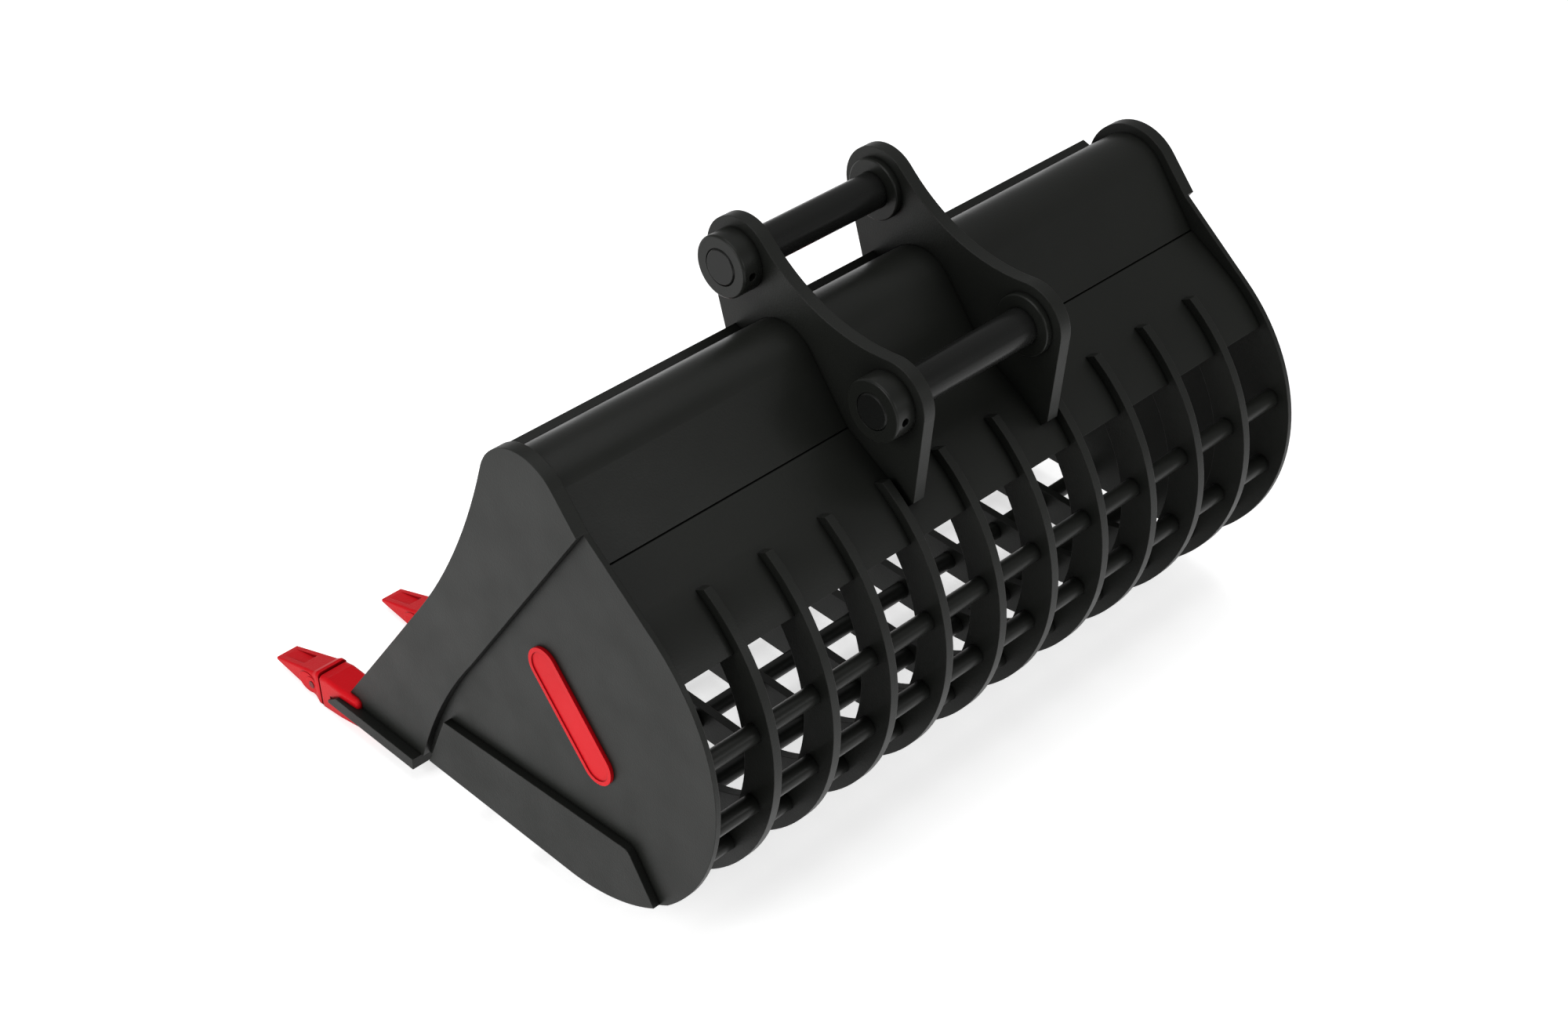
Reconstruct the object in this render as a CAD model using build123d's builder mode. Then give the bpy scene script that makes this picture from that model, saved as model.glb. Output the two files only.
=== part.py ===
"""Skeleton (sieve) bucket for an excavator, as the separate pieces it is welded and pinned up from.

Millimetres.  X runs across the bucket, -Y is the mouth and the teeth, +Y the heel, +Z up.
The origin is the centre of the dipper pin, midway between the two ears.
The flat floor of the bucket lies level, as it does when the bucket is set down.
"""
from build123d import *
import os
from math import acos, atan2, cos, degrees, hypot, radians, sin

# ---- widths, measured from the middle plane -------------------------------------------------
side_inner = 868.0            # inner faces of the side plates and side bars
side_plate_t = 12.0
side_bar_t = 30.0
wear_plate_t = 18.0
lip_overhang = 24.0           # how far the lip sticks out past each side bar
ear_gap = 369.0               # between the inner faces of the two ears
ear_t = 30.0

# ---- pins, bosses and collars -----------------------------------------------------
pin_r = 40.0
pin_clearance = 0.05          # radial running clearance of a pin in its bores
pin_end_proud = 2.0           # how far a pin's end stands out of its boss
pin_end_chamfer = 4.0
link_pin_y = 416.0            # link pin seen from the dipper pin
link_pin_z = -124.0
boss_r = 67.0
boss_len = 50.0               # long boss outside the right ear, which the bolt goes through
boss_edge_fillet = 5.0
collar_len = 16.0             # thin collars: inside both ears and outside the left one
collar_edge_fillet = 3.0
bolt_hole_r = 9.0             # cross hole for the bolt that keeps a pin in
bolt_hole_inset = 22.0        # from the boss's outer face to the hole
lobe_r = 89.0                 # ear's outline about each pin
saddle_r = 423.0              # hollow curve of the ear between the two pins
toe_drop = 54.0               # how far the ear's toe reaches down the mouth bar's front
toe_step = 3.0                # how far the toe stands forward of the mouth bar
ear_tip_deg = 49.5            # where the ear's rear tip meets the back plate
ear_tip_h = 22.0

# ---- body of the bucket, in the YZ plane ------------------------------------------------------
heel_y = 222.0                # centre that the back, the ribs and the cross bars curve about
heel_z = -645.0
heel_r = 422.0                # rear edge of the side plates and outer edge of the ribs
heel_blend_deg = -45.0        # below this the heel tightens or eases into the flat bottom
heel_h = 413.0                # heel centre above the underside of the lip and the ribs
rib_depth = 79.0
rib_floor_depth = 75.0
rib_t = 20.0
rib_count = 10
rib_tail_deg = 60.0           # where the rib's tail ends, up on the back plate
rib_tail_clear = 4.0          # how far a tail stops short of an ear's tip above it, degrees
rib_finger_deg = 50.0         # where the rib's inner finger ends, under the back plate
rib_tail_chamfer = 12.0
rib_tail_h = 22.0             # how far the ribs stand out from the back plate
rib_finger_ease = 8.0         # how the finger's end slopes in, degrees
back_t = 14.0
back_end_deg = 40.3           # lower edge of the back plate
skin_gap = 0.2                # fit-up gap of curved pieces before they are welded

bar_r = 20.0
bar_hole_gap = 0.1
bar_depth = 46.5              # from the ribs' outer edge in to the bars round the heel
bar_heel_degs = [15.4, -11.6, -35.4, -58.6, -81.0]
bar_floor_ys = [114.0, -48.0]

# ---- mouth, roller and torsion box -----------------------------------------------------------
mouth_y = -3.0                # front top corner of the mouth bar
mouth_z = -154.0
mouth_tilt = 15.5             # lean of the mouth bar, degrees from upright
mouth_bar_t = 19.0
mouth_bar_h = 95.0
roller_y = 134.0
roller_z = -182.0
roller_r = 98.0
wrapper_t = 12.0
back_start_deg = 62.0         # upper end of the back plate's curve
back_run = 110.0              # straight run from there up to the wrapper's seam
seam_groove = 4.0             # weld groove bevelled on the back plate's upper edge
box_plate_t = 12.0
box_plate_drop = 62.0         # from the mouth bar's top down to the box plate
box_plate_reach = 18.0        # from the seam down the back plate to the box plate

# ---- side plates, side bars and lower wear plates ----------------------------------------------
bar_top_y = 285.0             # where the side bar runs out on the plate's upper edge
bar_top_z = -169.0
bar_crown_r = 118.0
bar_crown_start = 168.0       # front end of the crown's curve, degrees
bar_belly_y = -74.0           # a point halfway up the hollow front edge
bar_belly_z = -420.0
bar_crown_y = 134.0
bar_crown_z = -182.0
front_knee_y = -199.0         # start of the straight lower front edge
front_knee_z = -643.0
front_foot_y = -453.0         # foot of the front edge, on the lip
rear_knee_y = -31.0           # end of the straight rear edge of the side bar
rear_knee_z = -673.0
rear_foot_y = -199.0
rear_belly_dy = -99.0         # a point halfway down the curved rear edge, from its knee
rear_belly_dz = -172.0
lower_arc_y = 262.0           # start of the side plate's lower heel arc
heel_mid_deg = -67.0          # a point halfway round the lower heel arc
heel_mid_ease = 2.0
wear_front_gap = 20.0
wear_front_lean = 54.0
wear_top_front_z = -887.0
wear_top_rear_y = 425.0
wear_top_rear_z = -852.0
wear_corner_r = 22.0
wear_heel_deg = -48.0         # rear end of the wear plate on the heel
wear_heel_inset = 6.0
wear_mid_deg = -70.0
wear_mid_ease = 1.0

# ---- lip, adapters and teeth -----------------------------------------------------
lip_t = 28.0
lip_rear_y = -205.0
lip_bevel_y = -461.0
lip_front_y = -490.0
lip_nose_h = 7.0              # height of the blunt front edge
rib_toe = 50.0                # how far a rib's toe laps on top of the lip
rib_toe_h = 18.0

tooth_count = 7
tooth_edge = 9.0              # from the lip's end to the outermost adapter
tooth_w = 78.0                # across the adapter's shoulder and the tooth's rear rim
shoulder_y = -524.0           # middle of the adapter's shoulder
shoulder_z = -1053.5
shoulder_h = 78.0
tooth_dip = 8.0               # slope of the teeth below level, degrees
tooth_len = 174.0             # from the shoulder to the tooth's tip
rim_start = 5.0               # open end of the tooth, ahead of the shoulder
rim_end = 14.0
rim_h = 86.0
rim_corner_r = 10.0
neck_start = 29.0             # where the rim has run down into the wedge
neck_w = 72.0
neck_h = 66.0
neck_rise = 2.3               # middle of the wedge above the tooth's axis
neck_corner_r = 7.0
tooth_tip_w = 56.0
tooth_tip_t = 8.0
tip_rise = 1.1
tip_corner_r = 2.5
pocket_start = 84.0           # sunk panel on the top of the tooth
pocket_end = 160.0
pocket_w = 36.0
pocket_taper = 4.0
pocket_deep = 6.5             # depth at its rear end, running out to nothing at the front
nose_gap = 0.25               # between the nose and the tooth's socket
nose_len = 108.0
nose_base_w = 56.0
nose_base_h = 52.0
nose_tip_w = 40.0
nose_tip_h = 17.0
lock_pin_r = 8.0
lock_pin_back = 36.0          # from the shoulder forward to the lock pin
lock_boss_r = 19.0
lock_boss_h = 1.6
lock_pad_long = 34.0          # half the long and short widths of the pad about the lock boss
lock_pad_short = 24.0
lock_pad_h = 0.6

# ---- adapters' legs -----------------------------------------------------
adapter_gap = 0.5             # between an outer adapter and the side bar's foot
top_leg_t = 21.0
top_leg_start_y = -505.0      # where the shoulder's slope meets the level top
top_leg_end_y = -401.0
leg_nose_r = 13.0             # round end of the top leg
bottom_leg_end_y = -356.0
bottom_leg_t = 17.0           # at its rear end
bottom_leg_run = 12.0         # bevel at its rear end
leg_taper_y = -460.0          # the legs narrow from here back
leg_end_w = 62.0              # width at the lower leg's rear end
leg_edge_r = 10.0
throat_relief_r = 4.0         # drilled relief at the bottom of the throat

# ---- badge blanks on the side plates -----------------------------------------------------
badge_y = 250.0
badge_z = -629.0
badge_len = 300.0
badge_w = 84.0
badge_t = 8.0
badge_tilt = -46.0
badge_rim = 9.0
badge_recess = 2.5

# ---- derived places -----------------------------------------------------
side_plate_outer = side_inner + side_plate_t
side_bar_outer = side_inner + side_bar_t
lip_half = side_bar_outer + lip_overhang
ear_inner = ear_gap / 2
ear_outer = ear_inner + ear_t
boss_outer = ear_outer + boss_len
collar_outer = ear_outer + collar_len
pin_right = boss_outer + pin_end_proud
pin_left = collar_outer + pin_end_proud
floor_z = heel_z - heel_h
lip_bottom_z = floor_z
side_bottom_z = lip_bottom_z + lip_t
leg_top_z = side_bottom_z + top_leg_t
back_outer_r = heel_r - rib_tail_h
rib_pitch = (2 * side_inner + rib_t) / (rib_count + 1)
tooth_pitch = 2 * (lip_half - tooth_edge - tooth_w / 2) / (tooth_count - 1)
rib_inner_r = heel_r - rib_depth
bar_path_r = heel_r - bar_depth
bar_floor_z = floor_z + rib_floor_depth / 2
seat_r = pin_r + pin_clearance
heel = (heel_y, heel_z)
roller = (roller_y, roller_z)
dipper = (0.0, 0.0)
link = (link_pin_y, link_pin_z)


def polar(centre, radius, angle):
    """Point at a radius and an angle in degrees (0 = +Y, 90 = +Z) from a centre."""
    return (centre[0] + radius * cos(radians(angle)), centre[1] + radius * sin(radians(angle)))


def angle_of(centre, point):
    return degrees(atan2(point[1] - centre[1], point[0] - centre[0]))


def tangent_angle(point, centre, radius, side):
    """Angle on the circle where a line from an outside point touches it, on the side +1 or -1."""
    reach = hypot(point[0] - centre[0], point[1] - centre[1])
    return angle_of(centre, point) + side * degrees(acos(radius / reach))


def arc(centre, radius, start, end):
    """Arc about a centre from one angle to another, straight up or down the scale."""
    return CenterArc(centre, radius, start, end - start)


def over(centre, radius, start, end):
    """Arc that runs clockwise, over the top, whichever turn the two angles are given in."""
    return CenterArc(centre, radius, start, -((start - end) % 360))


def shifted(point, angle, distance):
    return polar(point, distance, angle)


def slab(near, thick, side):
    """YZ sketch plane for a plate between X = near and near + thick, on the right (+1) or left (-1)."""
    return Plane.YZ.offset(near if side > 0 else -near - thick)


# The outer skin of the body, from the mouth bar over the roller and down the back.
down_angle = -90.0 - mouth_tilt               # down the mouth bar
back_angle = -mouth_tilt                      # rearward across the mouth bar
mouth_front = (mouth_y, mouth_z)
mouth_rear = shifted(mouth_front, back_angle, mouth_bar_t)
back_top = polar(heel, back_outer_r, back_start_deg)
seam = shifted(back_top, back_start_deg + 90.0, back_run)
roll_start = tangent_angle(mouth_rear, roller, roller_r, -1)
roll_end = tangent_angle(seam, roller, roller_r, 1)
box_front_top = shifted(mouth_rear, down_angle, box_plate_drop)
box_front_low = shifted(box_front_top, down_angle, box_plate_t)


def skin_outer(drop=0.0):
    """Corner points of the skin's straight runs, sunk by drop below the outer face."""
    first = shifted(mouth_rear, roll_start, -drop)
    touch_1 = polar(roller, roller_r - drop, roll_start)
    touch_2 = polar(roller, roller_r - drop, roll_end)
    last = shifted(seam, roll_end, -drop)
    return first, touch_1, touch_2, last


def save(solid, name):
    solid.label = name
    export_step(solid, f"parts/{name}.step")


os.makedirs("parts", exist_ok=True)


# ---- side assemblies -----------------------------------------------------
def leg_end(gap):
    """The rounded end of an adapter's top leg, grown by a gap, from the lip up to its level top."""
    round_y = top_leg_end_y - leg_nose_r
    round_z = leg_top_z - leg_nose_r
    Line((top_leg_end_y + gap, side_bottom_z), (top_leg_end_y + gap, round_z))
    arc((round_y, round_z), leg_nose_r + gap, 0.0, 90.0)
    return (round_y, leg_top_z + gap)


def side_bar(side):
    """Thick bar up the front edge, its foot cut out over the outer adapter's top leg."""
    crown = (bar_crown_y, bar_crown_z)
    top = (bar_top_y, bar_top_z)
    knee = (front_knee_y, front_knee_z)
    leg_z = leg_top_z + adapter_gap
    run = (knee[1] - leg_z) / (knee[1] - side_bottom_z)
    front_low = (knee[0] + run * (front_foot_y - knee[0]), leg_z)
    crown_end = tangent_angle(top, crown, bar_crown_r, 1)
    with BuildPart() as bar:
        with BuildSketch(slab(side_inner, side_bar_t, side)):
            with BuildLine():
                Line(front_low, knee)
                ThreePointArc(knee, (bar_belly_y, bar_belly_z), polar(crown, bar_crown_r, bar_crown_start))
                arc(crown, bar_crown_r, bar_crown_start, crown_end)
                Line(polar(crown, bar_crown_r, crown_end), top)
                rear_edge(side_bottom_z)
                Line((rear_foot_y, side_bottom_z), (top_leg_end_y + adapter_gap, side_bottom_z))
                over_leg = leg_end(adapter_gap)
                Line(over_leg, front_low)
            make_face()
        extrude(amount=side_bar_t)
    return bar.part


def rear_edge(foot_z):
    """Rear edge of the side bar, which the side plate is welded to."""
    knee = (rear_knee_y, rear_knee_z)
    belly = (rear_knee_y + rear_belly_dy, rear_knee_z + rear_belly_dz)
    Line((bar_top_y, bar_top_z), knee)
    ThreePointArc(knee, belly, (rear_foot_y, foot_z))


def heel_edge():
    """Lower heel of a side plate, from its flat bottom up to the back's curve."""
    mid = polar((lower_arc_y, heel_z), heel_z - side_bottom_z + heel_mid_ease, heel_mid_deg)
    ThreePointArc((lower_arc_y, side_bottom_z), mid, polar(heel, heel_r, heel_blend_deg))


def side_plate(side):
    with BuildPart() as plate:
        with BuildSketch(slab(side_inner, side_plate_t, side)):
            with BuildLine():
                rear_edge(side_bottom_z)
                Line((rear_foot_y, side_bottom_z), (lower_arc_y, side_bottom_z))
                heel_edge()
                top_touch = tangent_angle((bar_top_y, bar_top_z), heel, heel_r, -1)
                arc(heel, heel_r, heel_blend_deg, top_touch)
                Line(polar(heel, heel_r, top_touch), (bar_top_y, bar_top_z))
            make_face()
        extrude(amount=side_plate_t)
    return plate.part


def wear_plate(side):
    """Doubler along the lower rear of a side plate."""
    front_low = (rear_foot_y + wear_front_gap, side_bottom_z)
    front_top = (rear_foot_y + wear_front_gap + wear_front_lean, wear_top_front_z)
    rear_top = (wear_top_rear_y, wear_top_rear_z)
    corner = polar(heel, heel_r - wear_heel_inset, wear_heel_deg)
    mid = polar((lower_arc_y, heel_z), heel_z - side_bottom_z + wear_mid_ease, wear_mid_deg)
    with BuildPart() as plate:
        with BuildSketch(slab(side_plate_outer, wear_plate_t, side)):
            with BuildLine():
                Polyline((lower_arc_y, side_bottom_z), front_low, front_top, rear_top, corner)
                ThreePointArc(corner, mid, (lower_arc_y, side_bottom_z))
            make_face()
        extrude(amount=wear_plate_t)
        fillet(near_edge(plate.edges().filter_by(Axis.X), rear_top), wear_corner_r)
    return plate.part


def near_edge(edges, point):
    """The edge along X that passes through a point of the YZ plane."""
    return edges.sort_by(lambda e: hypot(e.center().Y - point[0], e.center().Z - point[1]))[0]


for side, word in ((1, "right"), (-1, "left")):
    save(side_bar(side), f"side_bar_{word}")
    save(side_plate(side), f"side_plate_{word}")
    save(wear_plate(side), f"side_wear_plate_{word}")


# ---- top section: mouth bar, rolled wrapper, torsion box plate, back plate --------------------------
def across(draw_outline):
    """Solid between the side plates from a closed YZ outline."""
    with BuildPart() as piece:
        with BuildSketch(Plane.YZ.offset(-side_inner)):
            with BuildLine():
                draw_outline()
            make_face()
        extrude(amount=2 * side_inner)
    return piece.part


def draw_mouth_bar():
    low_front = shifted(mouth_front, down_angle, mouth_bar_h)
    low_rear = shifted(mouth_rear, down_angle, mouth_bar_h)
    Polyline(mouth_front, mouth_rear, low_rear, low_front, close=True)


def draw_wrapper():
    first, touch_1, touch_2, last = skin_outer()
    in_first, in_touch_1, in_touch_2, in_last = skin_outer(wrapper_t)
    # the sheet's front edge is cut to lie flat on the mouth bar's rear face
    lean = radians(roll_start - 90.0 - down_angle)
    front_low = shifted(mouth_rear, down_angle, wrapper_t / abs(sin(lean)))
    Line(first, touch_1)
    arc(roller, roller_r, roll_start, roll_end)
    Line(touch_2, last)
    Line(last, in_last)
    Line(in_last, in_touch_2)
    arc(roller, roller_r - wrapper_t, roll_end, roll_start)
    Line(in_touch_1, front_low)
    Line(front_low, first)


def draw_back_plate():
    touch = polar(heel, back_outer_r, back_start_deg)
    in_touch = polar(heel, back_outer_r - back_t, back_start_deg)
    seam_in = shifted(seam, back_start_deg, -back_t)
    groove_low = shifted(seam, back_start_deg - 90.0, seam_groove)
    groove_in = shifted(seam, back_start_deg, -seam_groove)
    Line(groove_low, touch)
    arc(heel, back_outer_r, back_start_deg, back_end_deg)
    Line(polar(heel, back_outer_r, back_end_deg), polar(heel, back_outer_r - back_t, back_end_deg))
    arc(heel, back_outer_r - back_t, back_end_deg, back_start_deg)
    Line(in_touch, seam_in)
    Line(seam_in, groove_in)
    Line(groove_in, groove_low)


def draw_box_plate():
    seam_in = shifted(seam, back_start_deg, -back_t)
    rear_top = shifted(seam_in, back_start_deg - 90.0, box_plate_reach)
    rear_low = shifted(rear_top, back_start_deg - 90.0, box_plate_t)
    Polyline(box_front_top, rear_top, rear_low, box_front_low, close=True)


save(across(draw_mouth_bar), "mouth_bar")
save(across(draw_wrapper), "roller_wrapper")
save(across(draw_back_plate), "back_plate")
save(across(draw_box_plate), "torsion_box_plate")


# ---- ribs and cross bars -----------------------------------------------------
bar_places = [polar(heel, bar_path_r, a) for a in bar_heel_degs] + [(y, bar_floor_z) for y in bar_floor_ys]


def heel_blend(radius, flat_z):
    """Centre and radius of the arc that runs on from the heel circle to touch a level floor line."""
    drop = heel_z - flat_z
    offset = (radius - drop) / (1.0 + sin(radians(heel_blend_deg)))
    return polar(heel, offset, heel_blend_deg), radius - offset


def tail_deg(middle):
    """Upper end of a rib: the usual place, or just short of an ear's tip that stands over it."""
    near = abs(abs(middle) - (ear_inner + ear_t / 2)) < (ear_t + rib_t) / 2
    return ear_tip_deg - rib_tail_clear if near else rib_tail_deg


def rib(number):
    """Heel-shaped flat rib: slotted over the back plate's lower edge, its toe lapped on the lip."""
    middle = (number - (rib_count + 1) / 2) * rib_pitch
    tail = tail_deg(middle)
    slot_out = back_outer_r + skin_gap
    slot_in = back_outer_r - back_t - skin_gap
    slot_end = back_end_deg - degrees(skin_gap / back_outer_r)
    tail_low = polar(heel, slot_out, tail)
    tail_cut = degrees(rib_tail_chamfer / heel_r)
    floor_top_z = floor_z + rib_floor_depth
    out_centre, out_r = heel_blend(heel_r, floor_z)
    in_centre, in_r = heel_blend(rib_inner_r, floor_top_z)
    finger_deg = rib_finger_deg - rib_finger_ease
    toe_z = side_bottom_z + skin_gap
    toe_y = lip_rear_y - rib_toe
    foot_y = lip_rear_y + skin_gap
    with BuildPart() as piece:
        with BuildSketch(Plane.YZ.offset(middle - rib_t / 2)):
            with BuildLine():
                Line(tail_low, polar(heel, heel_r, tail - tail_cut))
                arc(heel, heel_r, tail - tail_cut, heel_blend_deg)
                arc(out_centre, out_r, heel_blend_deg, -90.0)
                Line((out_centre[0], floor_z), (foot_y, floor_z))
                Line((foot_y, floor_z), (foot_y, toe_z))
                Line((foot_y, toe_z), (toe_y, toe_z))
                Line((toe_y, toe_z), (toe_y, toe_z + rib_toe_h))
                Line((toe_y, toe_z + rib_toe_h), (foot_y, floor_top_z))
                Line((foot_y, floor_top_z), (in_centre[0], floor_top_z))
                arc(in_centre, in_r, -90.0, heel_blend_deg)
                arc(heel, rib_inner_r, heel_blend_deg, finger_deg)
                Line(polar(heel, rib_inner_r, finger_deg), polar(heel, slot_in, rib_finger_deg))
                arc(heel, slot_in, rib_finger_deg, slot_end)
                Line(polar(heel, slot_in, slot_end), polar(heel, slot_out, slot_end))
                arc(heel, slot_out, slot_end, tail)
            make_face()
            with Locations(*bar_places):
                Circle(bar_r + bar_hole_gap, mode=Mode.SUBTRACT)
        extrude(amount=rib_t)
    return piece.part


for number in range(1, rib_count + 1):
    save(rib(number), f"rib_{number:02d}")

for number, place in enumerate(bar_places, 1):
    with BuildPart() as cross_bar:
        with BuildSketch(Plane.YZ.offset(-side_inner)):
            with Locations(place):
                Circle(bar_r)
        extrude(amount=2 * side_inner)
    save(cross_bar.part, f"cross_bar_{number}")


# ---- lip -----------------------------------------------------
with BuildPart() as lip:
    with BuildSketch(Plane.YZ.offset(-lip_half)):
        with BuildLine():
            Polyline(
                (lip_rear_y, lip_bottom_z),
                (lip_rear_y, side_bottom_z),
                (lip_bevel_y, side_bottom_z),
                (lip_front_y, lip_bottom_z + lip_nose_h),
                (lip_front_y, lip_bottom_z),
                close=True,
            )
        make_face()
    extrude(amount=2 * lip_half)
save(lip.part, "lip_plate")


# ---- ears, bosses, collars and pins -----------------------------------------------------
def saddle_centre():
    """Centre of the hollow curve, which runs on smoothly from both lobes."""
    reach = lobe_r + saddle_r
    span = hypot(link[0] - dipper[0], link[1] - dipper[1])
    return polar(dipper, reach, angle_of(dipper, link) + degrees(acos(span / 2 / reach)))


def ear(side):
    """Hinge ear: two rounded pin lobes, cut below to sit on the mouth bar, the roller and the back."""
    toe = shifted(mouth_front, down_angle, toe_drop)
    toe_out = shifted(toe, back_angle, -toe_step)
    front_touch = tangent_angle(toe_out, dipper, lobe_r, -1)
    tip_low = polar(heel, back_outer_r, ear_tip_deg)
    tip_top = shifted(tip_low, ear_tip_deg, ear_tip_h)
    rear_touch = tangent_angle(tip_top, link, lobe_r, 1)
    saddle = saddle_centre()
    first, touch_1, touch_2, last = skin_outer()
    with BuildPart() as plate:
        with BuildSketch(slab(ear_inner, ear_t, side)):
            with BuildLine():
                Line(toe, toe_out)
                Line(toe_out, polar(dipper, lobe_r, front_touch))
                over(dipper, lobe_r, front_touch, angle_of(dipper, saddle))
                arc(saddle, saddle_r, angle_of(saddle, dipper), angle_of(saddle, link))
                over(link, lobe_r, angle_of(link, saddle), rear_touch)
                Line(polar(link, lobe_r, rear_touch), tip_top)
                Line(tip_top, tip_low)
                arc(heel, back_outer_r, ear_tip_deg, back_start_deg)
                Line(polar(heel, back_outer_r, back_start_deg), seam)
                Line(last, touch_2)
                arc(roller, roller_r, roll_end, roll_start)
                Line(touch_1, first)
                Line(mouth_rear, mouth_front)
                Line(mouth_front, toe)
            make_face()
            with Locations(dipper, link):
                Circle(seat_r, mode=Mode.SUBTRACT)
        extrude(amount=ear_t)
    return plate.part


def boss(centre):
    """Long boss outside the right ear, with a bolt hole across it that keeps the pin in."""
    with BuildPart() as piece:
        with BuildSketch(Plane.YZ.offset(ear_outer)):
            with Locations(centre):
                Circle(boss_r)
        extrude(amount=boss_len)
        rim = piece.edges().filter_by(GeomType.CIRCLE).sort_by(Axis.X)[-1]
        fillet(rim, boss_edge_fillet)
        with BuildSketch(Plane.YZ.offset(ear_outer)):
            with Locations(centre):
                Circle(seat_r)
        extrude(amount=boss_len, mode=Mode.SUBTRACT)
        with BuildSketch(Plane.XZ.offset(-centre[0] - boss_r - 1)):
            with Locations((boss_outer - bolt_hole_inset, centre[1])):
                Circle(bolt_hole_r)
        extrude(amount=2 * boss_r + 2, mode=Mode.SUBTRACT)
    return piece.part


def collar(near, outward, side, centre):
    """Thin collar from X = near, its free edge rounded: on the far face if outward, else on the near."""
    with BuildPart() as piece:
        with BuildSketch(slab(near, collar_len, side)):
            with Locations(centre):
                Circle(boss_r)
        extrude(amount=collar_len)
        rims = piece.edges().filter_by(GeomType.CIRCLE).sort_by(lambda e: abs(e.center().X))
        fillet(rims[-1] if outward else rims[0], collar_edge_fillet)
        with BuildSketch(slab(near, collar_len, side)):
            with Locations(centre):
                Circle(seat_r)
        extrude(amount=collar_len, mode=Mode.SUBTRACT)
    return piece.part


def pin(centre):
    with BuildPart() as piece:
        with BuildSketch(Plane.YZ.offset(-pin_left)):
            with Locations(centre):
                Circle(pin_r)
        extrude(amount=pin_left + pin_right)
        chamfer(piece.edges().filter_by(GeomType.CIRCLE), pin_end_chamfer)
        with BuildSketch(Plane.XZ.offset(-centre[0] - pin_r - 1)):
            with Locations((boss_outer - bolt_hole_inset, centre[1])):
                Circle(bolt_hole_r)
        extrude(amount=2 * pin_r + 2, mode=Mode.SUBTRACT)
    return piece.part


save(ear(1), "ear_right")
save(ear(-1), "ear_left")
for centre, name in ((dipper, "dipper"), (link, "link")):
    save(boss(centre), f"{name}_boss")
    save(collar(ear_inner - collar_len, False, 1, centre), f"{name}_collar_right")
    save(collar(ear_inner - collar_len, False, -1, centre), f"{name}_collar_left")
    save(collar(ear_outer, True, -1, centre), f"{name}_collar_outer")
    save(pin(centre), f"{name}_pin")


# ---- adapters, teeth and their lock pins -----------------------------------------------------
dip = radians(tooth_dip)
forward = (0.0, -cos(dip), -sin(dip))


def along(ahead, rise):
    """YZ point of a tooth: a distance ahead of the adapter's shoulder and a height above the axis."""
    y = shoulder_y - cos(dip) * ahead - sin(dip) * rise
    z = shoulder_z - sin(dip) * ahead + cos(dip) * rise
    return (y, z)


def tooth_plane(x, ahead, rise=0.0):
    """Plane square across a tooth, with its X along the lip."""
    return Plane(origin=(x, *along(ahead, rise)), x_dir=(1, 0, 0), z_dir=forward)


def nose_loft(x, grow, mode):
    """The tapered nose, or the socket for it when grown by the fit gap, added or cut by the mode."""
    with BuildSketch(tooth_plane(x, 0.0)) as base:
        Rectangle(nose_base_w + 2 * grow, nose_base_h + 2 * grow)
    with BuildSketch(tooth_plane(x, nose_len + grow)) as tip:
        Rectangle(nose_tip_w + 2 * grow, nose_tip_h + 2 * grow)
    loft([base.sketch.face(), tip.sketch.face()], mode=mode)


lock_place = along(lock_pin_back, 0.0)


def adapter(x):
    """Two-legged adapter straddling the lip: side outline, then narrowed to its plan outline."""
    half = tooth_w / 2
    with BuildPart() as piece:
        with BuildSketch(Plane.YZ.offset(x - half)):
            with BuildLine():
                level_end = leg_end(0.0)
                Line(level_end, (top_leg_start_y, leg_top_z))
                Polyline(
                    (top_leg_start_y, leg_top_z),
                    along(0.0, shoulder_h / 2),
                    along(0.0, -shoulder_h / 2),
                    (bottom_leg_end_y - bottom_leg_run, lip_bottom_z - bottom_leg_t),
                    (bottom_leg_end_y, lip_bottom_z),
                    (lip_front_y, lip_bottom_z),
                    (lip_front_y, lip_bottom_z + lip_nose_h),
                    (lip_bevel_y, side_bottom_z),
                    (top_leg_end_y, side_bottom_z),
                )
            make_face()
        extrude(amount=tooth_w)
        front_y = shoulder_y - half
        with BuildSketch(Plane.XY.offset(lip_bottom_z - half)):
            with BuildLine():
                Polyline(
                    (x - half, front_y),
                    (x - half, leg_taper_y),
                    (x - leg_end_w / 2, bottom_leg_end_y),
                    (x + leg_end_w / 2, bottom_leg_end_y),
                    (x + half, leg_taper_y),
                    (x + half, front_y),
                    close=True,
                )
            make_face()
        extrude(amount=3 * half, mode=Mode.INTERSECT)
        level = piece.edges().filter_by(lambda e: abs(e.center().X - x) > leg_end_w / 2)
        fillet(level.filter_by(lambda e: e.center().Z > leg_top_z - leg_nose_r / 2), leg_edge_r)
        nose_loft(x, 0.0, Mode.ADD)
        with BuildSketch(Plane.YZ.offset(x - half)):
            with Locations(lock_place):
                Circle(lock_pin_r + nose_gap)
            with Locations((lip_front_y, lip_bottom_z + lip_nose_h)):
                Circle(throat_relief_r)
        extrude(amount=tooth_w, mode=Mode.SUBTRACT)
    return piece.part


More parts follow.
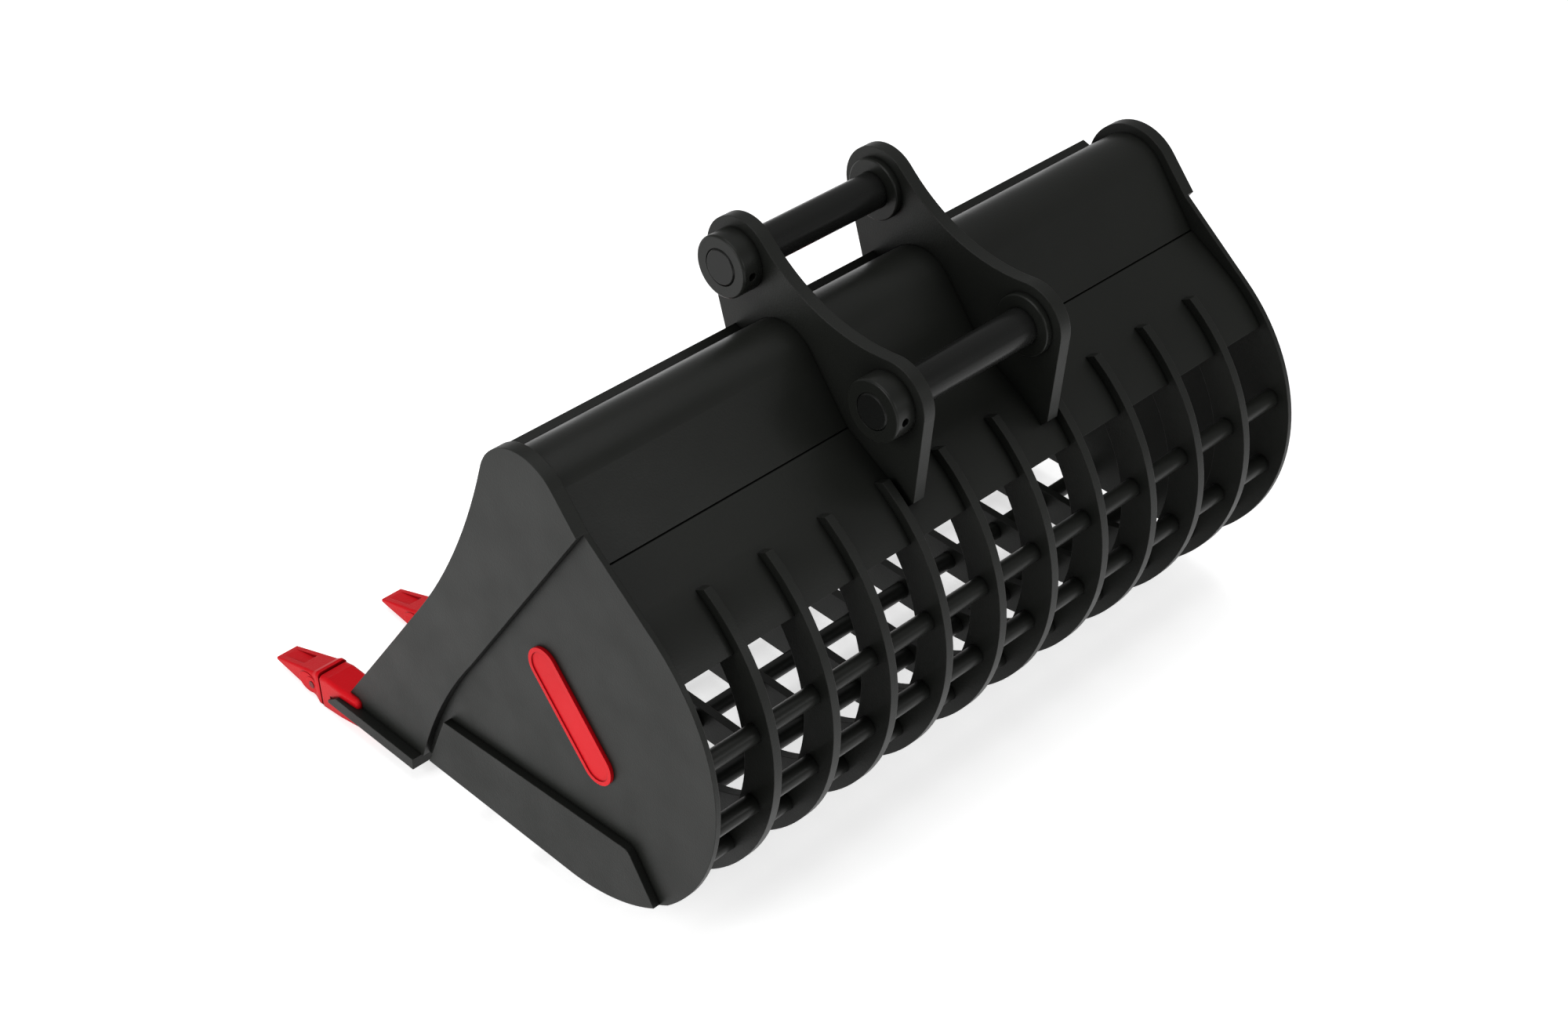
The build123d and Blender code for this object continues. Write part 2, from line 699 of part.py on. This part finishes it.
def tooth(x):
    """Hollow tooth point: a wedge with a raised rear rim, a sunk top panel and a lock boss each side."""
    body_half = neck_w / 2 + lock_pad_h
    boss_half = neck_w / 2 + lock_boss_h
    with BuildPart() as piece:
        with BuildSketch(tooth_plane(x, rim_start)):
            RectangleRounded(tooth_w, rim_h, rim_corner_r)
        with BuildSketch(tooth_plane(x, rim_end)):
            RectangleRounded(tooth_w, rim_h, rim_corner_r)
        with BuildSketch(tooth_plane(x, neck_start, neck_rise)):
            RectangleRounded(neck_w, neck_h, neck_corner_r)
        with BuildSketch(tooth_plane(x, tooth_len, tip_rise)):
            RectangleRounded(tooth_tip_w, tooth_tip_t, tip_corner_r)
        loft(ruled=True)
        pad_middle = lock_pad_long + rim_end
        with BuildSketch(Plane.YZ.offset(x - body_half)):
            with Locations(Location((*along(pad_middle, 0.0), 0), tooth_dip)):
                Ellipse(lock_pad_long, lock_pad_short)
        extrude(amount=2 * body_half)
        with BuildSketch(Plane.YZ.offset(x - boss_half)):
            with Locations(lock_place):
                Circle(lock_boss_r)
        extrude(amount=2 * boss_half)
        nose_loft(x, nose_gap, Mode.SUBTRACT)
        with BuildSketch(Plane.YZ.offset(x - tooth_w / 2)):
            with Locations(lock_place):
                Circle(lock_pin_r + nose_gap)
        extrude(amount=tooth_w, mode=Mode.SUBTRACT)
        top_slope = (neck_rise + neck_h / 2 - tip_rise - tooth_tip_t / 2) / (tooth_len - neck_start)
        rear_top = tip_rise + tooth_tip_t / 2 + top_slope * (tooth_len - pocket_start)
        front_top = tip_rise + tooth_tip_t / 2 + top_slope * (tooth_len - pocket_end)
        with BuildSketch(tooth_plane(x, pocket_start, rear_top)):
            Rectangle(pocket_w, 2 * pocket_deep)
        with BuildSketch(tooth_plane(x, pocket_end, front_top + pocket_deep)):
            Rectangle(pocket_w - pocket_taper, 2 * pocket_deep)
        loft(mode=Mode.SUBTRACT)
    return piece.part


tooth_xs = [(number - (tooth_count - 1) / 2) * tooth_pitch for number in range(tooth_count)]
for number, x in enumerate(tooth_xs, 1):
    save(adapter(x), f"adapter_{number}")
    save(tooth(x), f"tooth_{number}")

with BuildPart() as lock_pins:
    for x in tooth_xs:
        with BuildSketch(Plane.YZ.offset(x - tooth_w / 2)):
            with Locations(lock_place):
                Circle(lock_pin_r)
        extrude(amount=tooth_w)
save(lock_pins.part, "tooth_lock_pins")


# ---- badge blanks -----------------------------------------------------
def badge(side):
    """Plain raised plate with a rounded outline and a shallow sunk face."""
    with BuildPart() as piece:
        with BuildSketch(slab(side_plate_outer, badge_t, side)):
            with Locations(Location((badge_y, badge_z, 0), badge_tilt)):
                SlotOverall(badge_len, badge_w)
        extrude(amount=badge_t)
        sunk = side_plate_outer + badge_t - badge_recess
        with BuildSketch(slab(sunk, badge_recess, side)):
            with Locations(Location((badge_y, badge_z, 0), badge_tilt)):
                SlotOverall(badge_len - 2 * badge_rim, badge_w - 2 * badge_rim)
        extrude(amount=badge_recess, mode=Mode.SUBTRACT)
    return piece.part


save(badge(1), "badge_right")
save(badge(-1), "badge_left")
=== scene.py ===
import bpy
import numpy as np
from mathutils import Matrix, Vector


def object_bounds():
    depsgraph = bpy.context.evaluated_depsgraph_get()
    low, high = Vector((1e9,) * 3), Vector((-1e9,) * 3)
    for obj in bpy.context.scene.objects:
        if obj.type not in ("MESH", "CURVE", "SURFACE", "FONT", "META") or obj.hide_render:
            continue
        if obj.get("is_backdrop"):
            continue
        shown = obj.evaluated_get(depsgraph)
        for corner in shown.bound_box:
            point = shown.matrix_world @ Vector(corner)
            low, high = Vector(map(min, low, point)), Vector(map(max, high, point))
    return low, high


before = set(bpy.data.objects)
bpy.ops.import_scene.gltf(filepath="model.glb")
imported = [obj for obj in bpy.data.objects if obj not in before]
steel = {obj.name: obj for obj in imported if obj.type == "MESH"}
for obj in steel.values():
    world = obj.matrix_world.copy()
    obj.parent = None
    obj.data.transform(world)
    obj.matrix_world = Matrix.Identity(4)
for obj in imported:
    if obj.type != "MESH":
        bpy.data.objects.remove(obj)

cad_low, cad_high = (np.array(corner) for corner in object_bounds())


# ---------------------------------------------------------------------------------------------
# The studio: a camera above the rear right corner of the bucket, broad soft lights over the top
# and on the right side, a weaker one behind, and a white room around them.
camera_place = (3.4955, 3.2129, 2.9470)
look_back = Vector((0.5773, 0.5380, 0.6142)).normalized()
look_right = Vector((-0.7033, 0.7099, 0.0392))
look_right = (look_right - look_right.dot(look_back) * look_back).normalized()
camera_data = bpy.data.cameras.new("camera")
camera_data.lens = 63.7
camera_data.sensor_width = 36.0
camera_data.clip_end = 100.0
camera = bpy.data.objects.new("camera", camera_data)
bpy.context.scene.collection.objects.link(camera)
bpy.context.scene.camera = camera
turn = Matrix((look_right, look_back.cross(look_right), look_back)).transposed().to_4x4()
camera.matrix_world = Matrix.Translation(camera_place) @ turn

middle = Vector(((cad_low + cad_high) / 2).tolist())


def soft_light(name, place, width, power):
    """A square area light at a place, turned to face the middle of the bucket."""
    data = bpy.data.lights.new(name, "AREA")
    data.size = width
    data.energy = power
    lamp = bpy.data.objects.new(name, data)
    bpy.context.scene.collection.objects.link(lamp)
    lamp.location = place
    lamp.rotation_euler = (middle - Vector(place)).to_track_quat("-Z", "Y").to_euler()


soft_light("side_light", (5.0, -0.6, 1.6), 2.6, 95.0)
soft_light("top_light", (0.0, -0.2, 5.0), 5.0, 125.0)
soft_light("rear_light", (-1.5, 5.0, 2.0), 2.0, 40.0)

room = bpy.data.worlds.new("studio")
room.use_nodes = True
room_light = room.node_tree.nodes["Background"]
room_light.inputs["Color"].default_value = (1.0, 1.0, 1.0, 1.0)
room_light.inputs["Strength"].default_value = 0.36
bpy.context.scene.world = room
bpy.context.scene.view_settings.view_transform = "Standard"


# ---------------------------------------------------------------------------------------------
# Side plates of 12 mm plate, the thick side bars up their front edges and the wear plates low on
# the heel. Flame-cut from abrasion-resistant steel, welded together and sprayed satin charcoal.
def feed(material, socket, value):
    """Sets a shader socket to a value, or links it where the value is another node's output."""
    if isinstance(value, bpy.types.NodeSocket):
        material.node_tree.links.new(value, socket)
    else:
        socket.default_value = value


def node_of(material, kind, **inputs):
    """Adds a shader node and feeds its inputs, whose names have _ in place of a space."""
    made = material.node_tree.nodes.new(kind)
    for name, value in inputs.items():
        feed(material, made.inputs[name.replace("_", " ")], value)
    return made


def cloud(material, places, scale, detail, low, high):
    """Noise of a scale per metre, stretched so that low..high of it runs from 0 to 1."""
    noise = node_of(material, "ShaderNodeTexNoise", Vector=places, Scale=scale, Detail=detail)
    spread = node_of(material, "ShaderNodeMapRange", Value=noise.outputs["Fac"],
                     From_Min=low, From_Max=high)
    return spread.outputs["Result"]


def blend_of(material, amount, first, second):
    """Two colours mixed: first * (1 - amount) + second * amount."""
    mix = material.node_tree.nodes.new("ShaderNodeMix")
    mix.data_type = "RGBA"
    for number, value in ((0, amount), (6, first), (7, second)):
        feed(material, mix.inputs[number], value)
    return mix.outputs[2]


def combined(material, first, second, kind="MULTIPLY"):
    """Two numbers multiplied, or put together by another kind of sum."""
    sum_node = material.node_tree.nodes.new("ShaderNodeMath")
    sum_node.operation = kind
    feed(material, sum_node.inputs[0], first)
    feed(material, sum_node.inputs[1], second)
    return sum_node.outputs[0]


def sprayed(name, colour, shade, rough, edge_wear_and_highlight_tint, edge_wear_and_highlight_share, edge, peel, corner_shade=0.35, shine=0.17):
    """Sprayed paint on steel.

    The colour drifts to its shade in soft clouds, the roughness varies a little about rough, and a
    fine orange peel of height peel metres covers it. Edges are rounded to the radius edge, and
    there the colour lightens to edge_wear_and_highlight_tint in broken patches, by the share
    edge_wear_and_highlight_share: partly paint worn thin, partly a painted highlight. Shade is
    painted into the corners: the wide ones darken the colour to the share corner_shade, the tight
    ones to a quarter. The strength of the gloss is shine.
    """
    rough_spread = 0.05
    rubbed_gloss = 0.15
    corners = ((0.06, corner_shade), (0.008, 0.25))     # how far each shadow reaches, and its least share
    black = (0.0, 0.0, 0.0, 1.0)
    paint = bpy.data.materials.new(name)
    paint.use_nodes = True
    shader = paint.node_tree.nodes["Principled BSDF"]
    places = node_of(paint, "ShaderNodeTexCoord").outputs["Object"]
    drift = cloud(paint, places, 2.3, 4.0, 0.35, 0.68)
    specks = cloud(paint, places, 55.0, 3.0, 0.42, 0.70)
    patches = cloud(paint, places, 9.0, 5.0, 0.3, 0.7)
    grain = cloud(paint, places, 260.0, 2.0, 0.2, 0.8)

    # the rim is where the rounded normal leans away from the face's own
    rounded = node_of(paint, "ShaderNodeBevel", Radius=edge)
    rounded.samples = 6
    facing = paint.node_tree.nodes.new("ShaderNodeVectorMath")
    facing.operation = "DOT_PRODUCT"
    feed(paint, facing.inputs[0], rounded.outputs["Normal"])
    feed(paint, facing.inputs[1], node_of(paint, "ShaderNodeNewGeometry").outputs["Normal"])
    rim = node_of(paint, "ShaderNodeMapRange", Value=facing.outputs["Value"],
                  From_Min=0.99, From_Max=0.80).outputs["Result"]
    # The rim's colour is lightened: partly paint worn thin, partly a painted highlight along the
    # edge.
    edge_wear_and_highlight = combined(paint, combined(paint, rim, specks), edge_wear_and_highlight_share)

    # Ambient-occlusion nodes paint shade into the base colour: corners and contact lines darken as if
    # in shadow.
    shadows = []
    for reach, least in corners:
        corner = node_of(paint, "ShaderNodeAmbientOcclusion", Distance=reach)
        corner.samples = 6
        shadow = node_of(paint, "ShaderNodeMapRange", Value=corner.outputs["AO"],
                         From_Min=0.15, From_Max=0.85, To_Min=least, To_Max=1.0)
        shadows.append(shadow.outputs["Result"])

    tone = blend_of(paint, drift, colour, shade)
    tone = blend_of(paint, edge_wear_and_highlight, tone, edge_wear_and_highlight_tint)
    feed(paint, shader.inputs["Base Color"], blend_of(paint, combined(paint, *shadows), black, tone))
    haze = node_of(paint, "ShaderNodeMapRange", Value=patches,
                   To_Min=rough - rough_spread, To_Max=rough + rough_spread)
    rubbed = combined(paint, edge_wear_and_highlight, rubbed_gloss)
    dull = combined(paint, haze.outputs["Result"], rubbed, "SUBTRACT")
    feed(paint, shader.inputs["Roughness"], dull)
    bump = node_of(paint, "ShaderNodeBump", Height=grain, Strength=0.35, Distance=peel,
                   Normal=rounded.outputs["Normal"])
    feed(paint, shader.inputs["Normal"], bump.outputs["Normal"])
    shader.inputs["Specular IOR Level"].default_value = shine
    return paint


def finish_nodes(names, material):
    """Gives CAD pieces their finish, in place of the one that they were packed with."""
    for name in names:
        for place in steel[name].material_slots:
            place.material = material


# each finish: colour, shade, roughness, edge colour and share (wear and painted highlight), edge
# radius, peel height
charcoal = (0.0125, 0.0134, 0.0117, 1.0)
charcoal_shade = (0.0105, 0.0112, 0.0099, 1.0)
# The lighter edge colour below is bare steel where the paint wears thin, and partly a painted
# highlight.
bare_and_highlit_grey = (0.055, 0.057, 0.052, 1.0)
side_paint = sprayed("side_paint", charcoal, charcoal_shade, 0.42, bare_and_highlit_grey, 0.55, 0.0025, 0.0004)
finish_nodes(("side_plate_right", "side_plate_left", "side_bar_right", "side_bar_left"), side_paint)
wear_paint = sprayed("wear_paint", charcoal, charcoal_shade, 0.46, bare_and_highlit_grey, 0.8, 0.003, 0.0006)
finish_nodes(("side_wear_plate_right", "side_wear_plate_left"), wear_paint)

# ---------------------------------------------------------------------------------------------
# The top section: a flat bar at the mouth, a rolled wrapper over a big radius, the plate down the
# back and the flat plate that closes them into a box. Rolled and pressed sheet, seam-welded.
rolled_paint = sprayed("rolled_paint", charcoal, charcoal_shade, 0.36, bare_and_highlit_grey, 0.35, 0.002, 0.0003)
finish_nodes(("mouth_bar", "roller_wrapper", "back_plate", "torsion_box_plate"), rolled_paint)

# ---------------------------------------------------------------------------------------------
# Ten flat ribs bent to the heel, and seven round bars that run through them from side to side.
# The ribs are flame-cut plate and the bars are drawn steel, all under the same spray.
rib_paint = sprayed("rib_paint", charcoal, charcoal_shade, 0.40, bare_and_highlit_grey, 0.6, 0.002, 0.0005)
finish_nodes([name for name in steel if name.startswith("rib_")], rib_paint)
round_bar_paint = sprayed("round_bar_paint", charcoal, charcoal_shade, 0.34, bare_and_highlit_grey, 0.3,
                          0.001, 0.0003)
finish_nodes([name for name in steel if name.startswith("cross_bar_")], round_bar_paint)

# ---------------------------------------------------------------------------------------------
# The lip: one thick bevelled plate of wear steel under the whole mouth, which the side bars, the
# ribs and the adapters are welded to. Painted, and rubbed along its front edge and ends, where the
# lighter edge colour is partly a painted highlight.
lip_charcoal = (0.0145, 0.0153, 0.0137, 1.0)
lip_paint = sprayed("lip_paint", lip_charcoal, charcoal_shade, 0.47, bare_and_highlit_grey, 0.9, 0.003, 0.0008)
finish_nodes(("lip_plate",), lip_paint)

# ---------------------------------------------------------------------------------------------
# Two hinge ears of 30 mm plate, with a long machined boss outside the right one and thin collars
# welded to the other faces. The machined rims keep a brighter edge under the paint, which is partly
# a painted highlight.
ear_paint = sprayed("ear_paint", charcoal, charcoal_shade, 0.40, bare_and_highlit_grey, 0.5, 0.0025, 0.0004)
finish_nodes(("ear_right", "ear_left"), ear_paint)
turned_paint = sprayed("turned_paint", charcoal, charcoal_shade, 0.30, bare_and_highlit_grey, 0.8, 0.002, 0.0002)
finish_nodes([name for name in steel if "_boss" in name or "_collar_" in name], turned_paint)

# ---------------------------------------------------------------------------------------------
# The two hinge pins: hardened round bar, ground and blacked, greased where they run, with a
# bevelled end. Each slides out sideways once its bolt is drawn.
pin_black = (0.0155, 0.0160, 0.0152, 1.0)
pin_shade = (0.0115, 0.0120, 0.0112, 1.0)
# The lighter edge colour of the pins is rubbed steel and partly a painted highlight.
pin_rubbed_and_highlit = (0.11, 0.11, 0.105, 1.0)
# The pins' corners take a lighter painted shade, down to 0.6.
pin_steel = sprayed("pin_steel", pin_black, pin_shade, 0.27, pin_rubbed_and_highlit, 0.9, 0.002, 0.0001, corner_shade=0.6)
pin_steel.node_tree.nodes["Principled BSDF"].inputs["Metallic"].default_value = 0.35
finish_nodes(("dipper_pin", "link_pin"), pin_steel)

# ---------------------------------------------------------------------------------------------
# Seven cast adapters straddle the lip and are welded to it, each with a cast tooth point over its
# nose. Both are enamelled red over a sand-cast skin, which the enamel does not quite hide.
red = (0.660, 0.0050, 0.0110, 1.0)
red_shade = (0.560, 0.0042, 0.0095, 1.0)
# The lighter edge colour of the red parts is worn enamel and partly a painted highlight.
red_worn_and_highlit = (0.72, 0.030, 0.036, 1.0)
adapters = sorted(name for name in steel if name.startswith("adapter_"))
teeth = [name.replace("adapter", "tooth") for name in adapters]
adapter_enamel = sprayed("adapter_enamel", red, red_shade, 0.38, red_worn_and_highlit, 0.6, 0.003, 0.0010,
                         shine=0.09)
finish_nodes(adapters, adapter_enamel)
tooth_enamel = sprayed("tooth_enamel", red, red_shade, 0.36, red_worn_and_highlit, 0.6, 0.002, 0.0009,
                       shine=0.05)
finish_nodes(teeth, tooth_enamel)

# ---------------------------------------------------------------------------------------------
# A steel lock pin through each tooth and the nose inside it, driven in from the side. Its ends
# show in the tooth's bosses, with the enamel mostly knocked off them; their lighter edge colour is
# partly a painted highlight.
lock_red = (0.24, 0.010, 0.014, 1.0)
lock_shade = (0.12, 0.014, 0.014, 1.0)
lock_bare_and_highlit = (0.35, 0.30, 0.28, 1.0)
lock_steel = sprayed("lock_steel", lock_red, lock_shade, 0.42, lock_bare_and_highlit, 0.9, 0.001, 0.0004)
finish_nodes(("tooth_lock_pins",), lock_steel)

# ---------------------------------------------------------------------------------------------
# A plain badge blank on each side plate: a pressed steel plate with a raised rim and a round end,
# enamelled red and glued on.
badge_enamel = sprayed("badge_enamel", red, red_shade, 0.34, red_worn_and_highlit, 0.5, 0.0015, 0.0003,
                       shine=0.09)
finish_nodes(("badge_right", "badge_left"), badge_enamel)

# ---------------------------------------------------------------------------------------------
# The floor: one pale sheet level with the underside of the teeth, lit a little from within so
# that it stays even and white out to the edges.
floor_reach = 40.0
corners = np.array(((-1, -1), (1, -1), (1, 1), (-1, 1))) * floor_reach
floor_mesh = bpy.data.meshes.new("floor")
floor_corners = np.column_stack((corners, np.full(4, cad_low[2])))
floor_mesh.from_pydata(floor_corners.tolist(), [], [(0, 1, 2, 3)])
floor = bpy.data.objects.new("floor", floor_mesh)
bpy.context.scene.collection.objects.link(floor)
floor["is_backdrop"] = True
floor_paint = bpy.data.materials.new("floor_paint")
floor_paint.use_nodes = True
floor_shader = floor_paint.node_tree.nodes["Principled BSDF"]
for name, value in (("Base Color", (0.92, 0.92, 0.92, 1.0)), ("Roughness", 0.9),
                    ("Emission Color", (1.0, 1.0, 1.0, 1.0)), ("Emission Strength", 0.62)):
    floor_shader.inputs[name].default_value = value
floor.data.materials.append(floor_paint)
